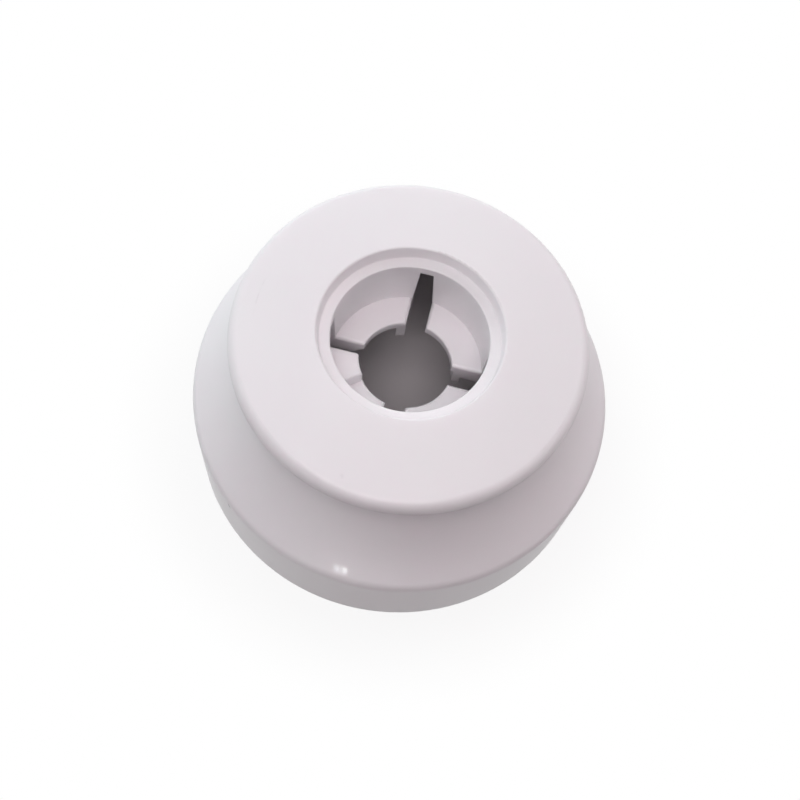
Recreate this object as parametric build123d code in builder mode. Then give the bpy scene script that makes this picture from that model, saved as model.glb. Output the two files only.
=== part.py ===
from build123d import *

import os
from math import sqrt

# Pull-off lid of a washing machine's lint filter, moulded in one piece.
# The bottom edge of the skirt lies on z = 0 and the axis of the lid is Z.

# Skirt, and the flare that rises from its shoulder to the neck under the knob
skirt_radius = 50.0
shoulder_round = 3.0
flare_rise = 22.4
flare_radius = 46.0
neck_round = 2.0
wall = 2.2
foot_round = 0.6

# Knob, with a slightly domed top
lid_height = 52.8
knob_radius = 40.0
knob_overhang = 6.5
knob_edge = 5.2
edge_band = 0.2
dome_drop = 2.6
dome_radius = 270.0
top_plate = 3.4

# Well in the knob, with a ledge below its mouth
mouth_radius = 20.7
mouth_round = 0.5
mouth_draft = 0.5
ledge_depth = 3.3
ledge_width = 2.5
well_draft = 0.1
well_depth = 14.1
corner_round = 0.3

# Snap collar of sprung fingers at the foot of the well
finger_count = 4
floor_thickness = 5.2
hole_radius = 10.7
hole_round = 0.5
lead_in = 2.9
slot_width = 4.75
slot_top_width = 3.1
slot_top_gap = 2.3
finger_round = 0.75

# Lug below one corner of each finger, set back from the edge of the hole
lug_setback = 0.6
lug_width = 2.1
lug_depth = 1.6
lug_drop = 2.5

# Key block on one finger, set back from the hole and measured from the middle of the slot beside it
key_setback = 0.3
key_finger = 2
key_angle = 37.0
key_height = 3.9
key_round = 0.6

# Heights that follow from the sizes above
edge_top = lid_height - dome_drop
flange_bottom = edge_top - knob_edge
shoulder_height = flange_bottom - flare_rise
plate_bottom = lid_height - top_plate
ledge_height = lid_height - ledge_depth
ledge_bottom = ledge_height - wall
floor_height = ledge_height - well_depth
floor_bottom = floor_height - floor_thickness
slot_top = ledge_height - slot_top_gap
lug_bottom = floor_bottom - lug_drop
round_foot = floor_height - finger_round

# Radii and angles that follow from the sizes above
edge_round = (knob_edge - edge_band) / 2
skirt_bore = skirt_radius - wall
neck_radius = knob_radius - knob_overhang
neck_bore = neck_radius - wall
step_outside = mouth_radius + wall
ledge_radius = mouth_radius - mouth_draft
well_radius = ledge_radius - ledge_width
well_foot_radius = well_radius - well_draft
well_outside = well_radius + wall
lug_radius = hole_radius + lug_setback
lug_reach = lug_radius + lug_depth
key_radius = hole_radius + key_setback
round_centre = slot_width / 2 + finger_round
finger_step = 360 / finger_count

# Upright planes through the axis, each facing out along the middle of a slot
slot_planes = [Plane.YZ.rotated((0, 0, index * finger_step)) for index in range(finger_count)]

with BuildPart() as filter_lid:
    # Section through the skirt, the knob and the well
    with BuildSketch(Plane.XZ) as section:
        with BuildLine():
            Line((skirt_radius, 0), (skirt_radius, shoulder_height))
            flare = RadiusArc((skirt_radius, shoulder_height), (neck_radius, flange_bottom), flare_radius)
            Polyline((neck_radius, flange_bottom), (knob_radius, flange_bottom), (knob_radius, edge_top))
            RadiusArc((knob_radius, edge_top), (mouth_radius, lid_height), -dome_radius)
            Polyline(
                (mouth_radius, lid_height),
                (ledge_radius, ledge_height),
                (well_radius, ledge_height),
                (well_foot_radius, floor_height),
                (hole_radius, floor_height),
                (hole_radius, floor_bottom + lead_in),
                (hole_radius + lead_in, floor_bottom),
                (well_outside, floor_bottom),
                (well_outside, ledge_bottom),
                (step_outside, ledge_bottom),
                (step_outside, plate_bottom),
                (neck_bore, plate_bottom),
            )
            # The inside of the flare is an arc about the same centre, one wall further out
            centre = flare.arc_center
            inner_radius = flare_radius + wall
            neck_foot = centre.Y - sqrt(inner_radius**2 - (centre.X - neck_bore) ** 2)
            skirt_top = centre.Y - sqrt(inner_radius**2 - (centre.X - skirt_bore) ** 2)
            Line((neck_bore, plate_bottom), (neck_bore, neck_foot))
            RadiusArc((neck_bore, neck_foot), (skirt_bore, skirt_top), -inner_radius)
            Polyline((skirt_bore, skirt_top), (skirt_bore, 0), (skirt_radius, 0))
        make_face()
        rounds = [
            ((skirt_radius, shoulder_height), shoulder_round),
            ((neck_radius, flange_bottom), neck_round),
            ((knob_radius, flange_bottom), edge_round),
            ((knob_radius, edge_top), edge_round),
            ((mouth_radius, lid_height), mouth_round),
            ((ledge_radius, ledge_height), corner_round),
            ((well_radius, ledge_height), corner_round),
            ((hole_radius, floor_height), hole_round),
            ((well_outside, floor_bottom), foot_round),
            ((neck_bore, plate_bottom), foot_round),
            ((skirt_bore, 0), foot_round),
            ((skirt_radius, 0), foot_round),
        ]
        for place, radius in rounds:
            fillet(section.vertices().sort_by_distance(place)[0], radius)
    revolve(axis=Axis.Z)

    # Rounded edges of the fingers along the slots
    with BuildPart(mode=Mode.SUBTRACT):
        with BuildSketch(*slot_planes):
            with Locations((0, floor_height - finger_round / 2)):
                Rectangle(2 * round_centre, finger_round)
            with Locations((-round_centre, round_foot), (round_centre, round_foot)):
                Circle(finger_round, mode=Mode.SUBTRACT)
        extrude(amount=well_radius)
        with Locations((0, 0, floor_height)):
            Cylinder(well_foot_radius, 4 * finger_round, mode=Mode.INTERSECT)

    # Lugs that hang from the counter-clockwise side of each slot
    with BuildSketch(Plane.XY.offset(lug_bottom)):
        with PolarLocations(0, finger_count):
            with Locations((lug_reach / 2, (slot_width + lug_width) / 2)):
                Rectangle(lug_reach, lug_width)
        Circle(lug_radius, mode=Mode.SUBTRACT)
    extrude(amount=lug_drop + lead_in)

    # Key block between the hole and the wall of the well, with its top edges rounded
    key_start = key_finger * finger_step
    with BuildPart() as key_block:
        with BuildSketch(Plane.XY.offset(round_foot)):
            with BuildLine():
                rim = CenterArc((0, 0), well_radius + wall / 2, key_start, key_angle)
                Polyline(rim @ 1, (0, 0), rim @ 0)
            make_face()
            Circle(key_radius, mode=Mode.SUBTRACT)
        extrude(amount=finger_round + key_height)
        fillet(key_block.edges().group_by(Axis.Z)[-1], key_round)

    # Slots through the floor, narrowing as they run up the wall of the well
    with BuildSketch(*slot_planes):
        with BuildLine():
            Polyline(
                (-slot_width / 2, lug_bottom),
                (slot_width / 2, lug_bottom),
                (slot_width / 2, floor_height),
                (slot_top_width / 2, slot_top),
                (-slot_top_width / 2, slot_top),
                (-slot_width / 2, floor_height),
                close=True,
            )
        make_face()
    extrude(amount=(well_outside + neck_bore) / 2, mode=Mode.SUBTRACT)

os.makedirs("parts", exist_ok=True)
filter_lid.part.label = "filter_lid"
export_step(filter_lid.part, "parts/filter_lid.step")
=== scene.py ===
"""Scene of a white plastic filter lid: its finish, its studio light and its camera."""

import logging
import math
from dataclasses import dataclass, field
from enum import Enum
from typing import Any, Union

import bpy
from mathutils import Matrix, Vector

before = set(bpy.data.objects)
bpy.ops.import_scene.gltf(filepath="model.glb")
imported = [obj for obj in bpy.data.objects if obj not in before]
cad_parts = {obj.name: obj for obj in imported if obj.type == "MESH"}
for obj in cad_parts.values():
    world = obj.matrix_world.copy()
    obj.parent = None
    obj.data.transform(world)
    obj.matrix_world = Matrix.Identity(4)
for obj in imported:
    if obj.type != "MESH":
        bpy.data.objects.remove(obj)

LOG = logging.getLogger("filter_lid")
MM = 0.001
NODE = "filter_lid"
WHITE = (1.0, 1.0, 1.0, 1.0)
Colour = tuple[float, float, float]
Point = tuple[float, float, float]
Span = tuple[float, float]


class Signal:
    """An output socket whose arithmetic adds Math nodes to its sheet."""

    def __init__(self, sheet: "NodeSheet", socket: bpy.types.NodeSocket) -> None:
        """Keeps the socket and the sheet it belongs to.

        Args:
            sheet: The node sheet that new nodes are added to.
            socket: The output socket.
        """
        self.sheet = sheet
        self.socket = socket

    def math(self, operation: str, *others: "Feed") -> "Signal":
        """Adds one Math node that starts from this value.

        Args:
            operation: Name of the Math node's operation.
            others: The further values of the operation.

        Returns:
            The result as a new signal.
        """
        values = dict(enumerate((self, *others)))
        return self.sheet.add("ShaderNodeMath", {"operation": operation}, values)

    def __add__(self, other: "Feed") -> "Signal":
        """Sum of two values."""
        return self.math("ADD", other)

    def __radd__(self, other: "Feed") -> "Signal":
        """Sum that starts from a number."""
        return self.math("ADD", other)

    def __sub__(self, other: "Feed") -> "Signal":
        """Difference of two values."""
        return self.math("SUBTRACT", other)

    def __rsub__(self, other: float) -> "Signal":
        """Difference that starts from a number."""
        return self.sheet.add("ShaderNodeMath", {"operation": "SUBTRACT"}, {0: other, 1: self})

    def __mul__(self, other: "Feed") -> "Signal":
        """Product of two values."""
        return self.math("MULTIPLY", other)

    def __rmul__(self, other: "Feed") -> "Signal":
        """Product that starts from a number."""
        return self.math("MULTIPLY", other)


Feed = Union[Signal, float, tuple]


class NodeSheet:
    """The node tree of one material or of the world."""

    def __init__(self, owner: bpy.types.ID) -> None:
        """Clears the owner's node tree and starts on an empty sheet.

        Args:
            owner: A material or a world.
        """
        owner.use_nodes = True
        self.tree = owner.node_tree
        self.tree.nodes.clear()

    def add(
        self,
        kind: str,
        settings: dict[str, Any] | None = None,
        inputs: dict[str | int, Feed] | None = None,
        out: str | int = 0,
    ) -> Signal:
        """Adds any node with an output, sets it up and links it.

        Args:
            kind: Blender's name of the node type.
            settings: Properties of the node, set first.
            inputs: Values or signals by the name or number of their socket.
            out: Name or number of the output that is returned.

        Returns:
            The chosen output.
        """
        node = self.tree.nodes.new(kind)
        for name, value in (settings or {}).items():
            setattr(node, name, value)
        for name, value in (inputs or {}).items():
            socket = node.inputs[name]
            if isinstance(value, Signal):
                self.tree.links.new(value.socket, socket)
            else:
                socket.default_value = value
        return Signal(self, node.outputs[out])

    def close(self, kind: str, surface: Signal) -> None:
        """Adds the sheet's output node and links the finished shader to it.

        Args:
            kind: Blender's name of the output node's type.
            surface: The finished shader.
        """
        node = self.tree.nodes.new(kind)
        self.tree.links.new(surface.socket, node.inputs["Surface"])

    def vector(self, operation: str, inputs: dict[str | int, Feed], out: str = "Vector") -> Signal:
        """Adds one Vector Math node.

        Args:
            operation: Name of the node's operation.
            inputs: Values or signals by the name or number of their socket.
            out: Name of the output that is returned.

        Returns:
            The chosen output.
        """
        return self.add("ShaderNodeVectorMath", {"operation": operation}, inputs, out)

    def noise(self, place: Signal, size: float, detail: float) -> Signal:
        """Adds a soft noise.

        Args:
            place: The place on the lid.
            size: Size of the noise's patches.
            detail: How many finer layers it has.

        Returns:
            A signal that varies about 0.5.
        """
        return self.add("ShaderNodeTexNoise", {}, {"Vector": place, "Scale": 1 / size, "Detail": detail})

    def mix_colour(self, factor: Feed, first: Feed, second: Feed) -> Signal:
        """Blends two colours.

        Args:
            factor: Share of the second colour.
            first: The first colour or its signal.
            second: The second colour or its signal.

        Returns:
            The blended colour.
        """
        first = first if isinstance(first, Signal) else (*first, 1.0)
        second = second if isinstance(second, Signal) else (*second, 1.0)
        inputs = {0: factor, 6: first, 7: second}
        return self.add("ShaderNodeMix", {"data_type": "RGBA"}, inputs, out=2)

    def band(self, value: Signal, low: float, high: float) -> Signal:
        """Smooth step from 0 at low to 1 at high.

        Args:
            value: The value that is looked at.
            low: Where the step starts.
            high: Where the step ends.

        Returns:
            A signal between 0 and 1.
        """
        settings = {"interpolation_type": "SMOOTHSTEP"}
        return self.add("ShaderNodeMapRange", settings, {"Value": value, "From Min": low, "From Max": high})


@dataclass(frozen=True)
class Nick:
    """A short dull nick in the surface.

    Attributes:
        start: Where its middle line starts.
        end: Where its middle line ends.
        width: How far it reaches to each side of the line.
        strength: Share of dirt on the line.
    """

    start: Point
    end: Point
    width: float
    strength: float

    def share(self, sheet: NodeSheet, place: Signal) -> Signal:
        """Works out how strongly the nick shows at a place.

        Args:
            sheet: The sheet that the nodes are added to.
            place: The place on the lid.

        Returns:
            The nick's strength along its middle line, falling to 0 beside it.
        """
        along = Vector(self.end) - Vector(self.start)
        offset = sheet.vector("SUBTRACT", {0: place, 1: self.start})
        scaled = tuple(along / along.length_squared)
        travel = sheet.vector("DOT_PRODUCT", {0: offset, 1: scaled}, "Value")
        travel = travel.math("MAXIMUM", 0.0).math("MINIMUM", 1.0)
        foot = sheet.vector("SCALE", {0: tuple(along), "Scale": travel})
        away = sheet.vector("DISTANCE", {0: offset, 1: foot}, "Value")
        return (1 - sheet.band(away, 0.0, self.width)) * self.strength


@dataclass(frozen=True)
class Scratch:
    """A thin scratch on the knob's top that runs about the axis of the lid, on its left.

    Attributes:
        radius: Distance of the scratch from the axis.
        above: Height above which it shows.
        start: Where it starts, in degrees from the left towards the front.
        end: Where it ends, in degrees from the left towards the front.
        width: How far it reaches to each side of its line.
        strength: Share of dirt at its darkest.
        patch: Size of the patches in which it is stronger or weaker.
        full: Share of its length that doesn't fade towards the ends.
        patchiness: Values of the noise between which it goes from bare to full.
    """

    radius: float
    above: float
    start: float
    end: float
    width: float
    strength: float
    patch: float
    full: float = 0.3
    patchiness: Span = (0.25, 0.6)

    def share(self, sheet: NodeSheet, place: Signal) -> Signal:
        """Works out how strongly the scratch shows at a place.

        Args:
            sheet: The sheet that the nodes are added to.
            place: The place on the lid.

        Returns:
            The scratch's uneven strength along its line, falling to 0 beside it.
        """
        x, y, z = (sheet.add("ShaderNodeSeparateXYZ", {}, {0: place}, axis) for axis in "XYZ")
        off_line = ((x * x + y * y).math("SQRT") - self.radius).math("ABSOLUTE")
        angle = (-1 * y).math("ARCTAN2", -1 * x)
        middle = math.radians((self.start + self.end) / 2)
        reach = math.radians((self.end - self.start) / 2)
        off_middle = (angle - middle).math("ABSOLUTE")
        uneven = sheet.noise(place, self.patch, 1.0)
        line = 1 - sheet.band(off_line, 0.0, self.width)
        ends = 1 - sheet.band(off_middle, self.full * reach, reach)
        on_top = z.math("GREATER_THAN", self.above)
        return line * ends * on_top * sheet.band(uneven, *self.patchiness) * self.strength


@dataclass(frozen=True)
class WhitePlastic:
    """Satin white moulded plastic with a thin gloss, a little depth and light wear.

    Attributes:
        name: Name of the material.
        colour: Colour of the plastic.
        shade: Colour of its faint clouds.
        dirt: Colour that the marks of wear tend to.
        roughness: Lowest roughness.
        cloud_roughness: What the clouds add to the roughness.
        grain_roughness: What the grain adds to the roughness.
        refraction: Index of refraction.
        gloss: Share of the clear gloss.
        gloss_roughness: Roughness of the clear gloss.
        depth: How far light travels in the plastic.
        depth_share: Share of the light that does so.
        depth_reach: How far red, green and blue go, as shares of the depth.
        cloud_size: Size of the clouds.
        cloud_detail: How many finer layers the clouds have.
        cloud_span: Values of the noise between which the colour turns to the shade.
        grain_size: Size of the moulded grain.
        grain_detail: How many finer layers the grain has.
        grain_height: Height of the grain.
        grain_strength: Share of the grain's height that shows.
        wear: Nicks and scratches.
    """

    name: str = "white_moulded_plastic"
    colour: Colour = (0.905, 0.880, 0.900)
    shade: Colour = (0.895, 0.862, 0.888)
    dirt: Colour = (0.30, 0.28, 0.29)
    roughness: float = 0.32
    cloud_roughness: float = 0.05
    grain_roughness: float = 0.03
    refraction: float = 1.49
    gloss: float = 0.25
    gloss_roughness: float = 0.06
    depth: float = 2.0 * MM
    depth_share: float = 0.5
    depth_reach: Colour = (1.0, 0.9, 0.95)
    cloud_size: float = 30 * MM
    cloud_detail: float = 3.0
    cloud_span: Span = (0.3, 0.7)
    grain_size: float = 0.35 * MM
    grain_detail: float = 2.0
    grain_height: float = 0.004 * MM
    grain_strength: float = 0.5
    wear: tuple[Nick | Scratch, ...] = (
        Nick(
            start=(-31.8 * MM, -38.6 * MM, 20.9 * MM),
            end=(-31.6 * MM, -38.7 * MM, 20.0 * MM),
            width=0.7 * MM,
            strength=0.75,
        ),
        Nick(
            start=(-6.45 * MM, -35.3 * MM, 50.87 * MM),
            end=(-6.25 * MM, -35.6 * MM, 50.83 * MM),
            width=0.6 * MM,
            strength=0.08,
        ),
        Scratch(
            radius=34.6 * MM,
            above=47 * MM,
            start=-10.0,
            end=9.0,
            width=0.3 * MM,
            strength=0.10,
            patch=2.5 * MM,
        ),
    )

    def make(self) -> bpy.types.Material:
        """Builds the material.

        Returns:
            The finished material.
        """
        material = bpy.data.materials.new(self.name)
        sheet = NodeSheet(material)
        place = sheet.add("ShaderNodeTexCoord", out="Object")
        cloud = sheet.noise(place, self.cloud_size, self.cloud_detail)
        grain = sheet.noise(place, self.grain_size, self.grain_detail)
        colour = sheet.mix_colour(sheet.band(cloud, *self.cloud_span), self.colour, self.shade)
        for mark in self.wear:
            colour = sheet.mix_colour(mark.share(sheet, place), colour, self.dirt)
        roughness = self.roughness + self.cloud_roughness * cloud + self.grain_roughness * grain
        relief = {"Height": grain, "Distance": self.grain_height, "Strength": self.grain_strength}
        shader = sheet.add(
            "ShaderNodeBsdfPrincipled",
            {},
            {
                "Base Color": colour,
                "Roughness": roughness,
                "Normal": sheet.add("ShaderNodeBump", {}, relief),
                "IOR": self.refraction,
                "Coat Weight": self.gloss,
                "Coat Roughness": self.gloss_roughness,
                "Subsurface Weight": self.depth_share,
                "Subsurface Radius": self.depth_reach,
                "Subsurface Scale": self.depth,
            },
        )
        sheet.close("ShaderNodeOutputMaterial", shader)
        return material


@dataclass
class FilterLid:
    """The lid itself, one moulding.

    Attributes:
        node: Name of its CAD node.
        finish: What it is made of.
    """

    node: str = NODE
    finish: WhitePlastic = field(default_factory=WhitePlastic)

    def dress(self) -> bpy.types.Object:
        """Puts the finish on the lid.

        Returns:
            The dressed lid.
        """
        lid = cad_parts[self.node]
        for slot in lid.material_slots:
            slot.material = self.finish.make()
        LOG.info("dressed %s", lid.name)
        return lid


class Side(Enum):
    """Name of a lamp, by where it stands as seen from the camera or by what it makes."""

    TOP = "top"
    LEFT = "left"
    BACK = "back"
    FRONT = "front"
    HIGH_FRONT = "high_front"
    HIGH_LEFT = "high_left"
    HIGH_RIGHT = "high_right"
    BACK_RIGHT = "back_right"
    LOW_BACK_LEFT = "low_back_left"
    FIRST_SPOT = "first_spot"
    SECOND_SPOT = "second_spot"


class Tone(Enum):
    """Tint of a lamp's light."""

    COOL = (0.905, 0.99, 1.0)
    WARM = (1.0, 0.905, 0.93)


@dataclass(frozen=True)
class SoftLamp:
    """A soft lamp that looks at the lid, square unless it is made flatter.

    Attributes:
        side: The lamp's name.
        tone: Tint of its light.
        place: Where it stands, in metres.
        width: Its width in metres.
        power: Its power in watts.
        flatness: Its height as a share of its width.
        mirrored: Whether it shows in reflections.
    """

    side: Side
    tone: Tone
    place: Point
    width: float
    power: float
    flatness: float = 1.0
    mirrored: bool = True

    def build(self, aim: Vector) -> bpy.types.Object:
        """Adds the lamp.

        Args:
            aim: The point that the lamp looks at.

        Returns:
            The lamp's object.
        """
        light = bpy.data.lights.new(f"lamp_{self.side.value}", "AREA")
        light.shape = "RECTANGLE"
        light.size = self.width
        light.size_y = self.width * self.flatness
        light.energy = self.power
        light.color = self.tone.value
        lamp = bpy.data.objects.new(light.name, light)
        bpy.context.scene.collection.objects.link(lamp)
        lamp.location = self.place
        lamp.visible_glossy = self.mirrored
        lamp.rotation_euler = (aim - Vector(self.place)).to_track_quat("-Z", "Y").to_euler()
        LOG.info("placed %s", lamp.name)
        return lamp


@dataclass
class Studio:
    """Pale floor, soft lamps and the camera of the picture.

    Attributes:
        floor_width: Width of the floor in metres.
        floor_colour: Colour of the floor as the camera sees it.
        bounce_colour: Colour of the light that the floor throws back at the lid.
        bare_radius: Distance from the axis within which the floor isn't lifted to white.
        shadow_from: Distance from the axis at which the shadow is strongest.
        shadow_to: Distance from the axis at which the shadow has gone.
        shadow_share: How much of the shadow shows.
        lamps: The lamps; those whose reflection would whiten the knob's top aren't mirrored.
        aim_height: Height of the point that the lamps and the camera look at.
        turn: Turn of the camera about the lid's axis, in degrees.
        elevation: Elevation of the camera, in degrees.
        roll: Roll of the camera, in degrees.
        distance: Distance of the camera from its aim.
        slide: How far the camera is moved to its right and up.
        lens: Focal length of the camera in millimetres.
        near_clip: Nearest distance that the camera sees.
    """

    floor_width: float = 4.0
    floor_colour: Colour = (0.80, 0.79, 0.80)
    bounce_colour: Colour = (0.22, 0.18, 0.20)
    bare_radius: float = 48 * MM
    shadow_from: float = 50 * MM
    shadow_to: float = 75 * MM
    shadow_share: float = 0.12
    lamps: tuple[SoftLamp, ...] = (
        SoftLamp(Side.TOP, Tone.WARM, (0.0, 0.05, 0.9), 0.5, 0.76),
        SoftLamp(Side.LEFT, Tone.COOL, (-0.8, 0.0, 0.35), 0.5, 1.34, mirrored=False),
        SoftLamp(Side.BACK, Tone.COOL, (0.0, 0.75, 0.5), 0.5, 1.68, mirrored=False),
        SoftLamp(Side.FRONT, Tone.WARM, (0.0, -0.75, 0.5), 0.5, 0.54),
        SoftLamp(Side.HIGH_FRONT, Tone.WARM, (0.0, -0.35, 0.85), 0.5, 2.58),
        SoftLamp(Side.HIGH_LEFT, Tone.COOL, (-0.4, 0.1, 0.8), 0.5, 0.73),
        SoftLamp(Side.HIGH_RIGHT, Tone.WARM, (0.4, 0.1, 0.8), 0.5, 0.27),
        SoftLamp(Side.BACK_RIGHT, Tone.WARM, (0.55, 0.55, 0.45), 0.5, 2.13, mirrored=False),
        SoftLamp(Side.LOW_BACK_LEFT, Tone.COOL, (-0.6, 0.6, 0.2), 0.35, 2.70, mirrored=False),
        SoftLamp(Side.FIRST_SPOT, Tone.COOL, (-0.115, -0.770, 0.350), 0.029, 0.072, 0.41),
        SoftLamp(Side.SECOND_SPOT, Tone.COOL, (-0.070, -0.773, 0.353), 0.023, 0.062, 0.52),
    )
    aim_height: float = 25 * MM
    turn: float = 4.27
    elevation: float = 66.54
    roll: float = 9.89
    distance: float = 269.91 * MM
    slide: Span = (-0.61 * MM, -4.16 * MM)
    lens: float = 50.70
    near_clip: float = 10 * MM

    def seen(self, sheet: NodeSheet) -> Signal:
        """Tells rays that show the background from those that only light the lid.

        Args:
            sheet: The sheet that the nodes are added to.

        Returns:
            1 for camera, glossy and transmission rays, and 0 for the rest.
        """
        rays = [
            sheet.add("ShaderNodeLightPath", out=name)
            for name in ("Is Camera Ray", "Is Glossy Ray", "Is Transmission Ray")
        ]
        return rays[0].math("MAXIMUM", rays[1]).math("MAXIMUM", rays[2])

    def build_world(self) -> None:
        """Makes a world that is white to the camera and in reflections, and gives no other light."""
        world = bpy.data.worlds.new("studio_air")
        bpy.context.scene.world = world
        sheet = NodeSheet(world)
        air = sheet.add("ShaderNodeBackground", {}, {"Color": WHITE, "Strength": self.seen(sheet)})
        sheet.close("ShaderNodeOutputWorld", air)

    def build_floor(self) -> bpy.types.Object:
        """Makes the pale floor, white to the camera but for the lid's shadow.

        Returns:
            The floor's object.
        """
        bpy.ops.object.select_all(action="DESELECT")
        bpy.ops.mesh.primitive_plane_add(size=self.floor_width)
        floor = bpy.context.object
        floor.name = "floor"
        material = bpy.data.materials.new("pale_floor")
        sheet = NodeSheet(material)
        place = sheet.add("ShaderNodeTexCoord", out="Object")
        away = sheet.vector("LENGTH", {0: place}, "Value")
        open_floor = sheet.band(away, self.shadow_from, self.shadow_to)
        beside = away.math("GREATER_THAN", self.bare_radius)
        white = self.seen(sheet) * beside * (1 - self.shadow_share + self.shadow_share * open_floor)
        direct = sheet.add("ShaderNodeLightPath", out="Is Camera Ray")
        colour = sheet.mix_colour(direct, self.bounce_colour, self.floor_colour)
        paint = sheet.add("ShaderNodeBsdfDiffuse", {}, {"Color": colour})
        glow = sheet.add("ShaderNodeEmission", {}, {"Color": WHITE})
        surface = sheet.add("ShaderNodeMixShader", {}, {0: white, 1: paint, 2: glow})
        sheet.close("ShaderNodeOutputMaterial", surface)
        floor.data.materials.append(material)
        LOG.info("laid the floor")
        return floor

    def build_camera(self) -> bpy.types.Object:
        """Sets up the camera at the picture's viewing angle.

        Returns:
            The camera's object.
        """
        lean, tip, turn = (math.radians(angle) for angle in (self.elevation, self.roll, self.turn))
        spin = Matrix.Rotation(turn, 3, "Z")
        ahead = spin @ Vector((0, math.cos(lean), -math.sin(lean)))
        level = spin @ Vector((1, 0, 0))
        above = level.cross(ahead)
        right = math.cos(tip) * level + math.sin(tip) * above
        up = math.cos(tip) * above - math.sin(tip) * level
        eye = Vector((0, 0, self.aim_height)) - self.distance * ahead
        eye += self.slide[0] * right + self.slide[1] * up
        data = bpy.data.cameras.new("picture_camera")
        data.lens = self.lens
        data.clip_start = self.near_clip
        camera = bpy.data.objects.new("picture_camera", data)
        bpy.context.scene.collection.objects.link(camera)
        camera.matrix_world = Matrix.Translation(eye) @ Matrix((right, up, -ahead)).transposed().to_4x4()
        bpy.context.scene.camera = camera
        LOG.info("set up the camera")
        return camera

    def build(self) -> None:
        """Builds the whole studio."""
        bpy.context.scene.view_settings.view_transform = "Standard"
        self.build_world()
        self.build_floor()
        aim = Vector((0, 0, self.aim_height))
        for lamp in self.lamps:
            lamp.build(aim)
        self.build_camera()


def main() -> None:
    """Dresses the lid and builds the studio."""
    logging.basicConfig(level=logging.INFO, format="%(name)s: %(message)s")
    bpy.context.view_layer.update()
    FilterLid().dress()
    Studio().build()


if __name__ == "__main__":
    main()
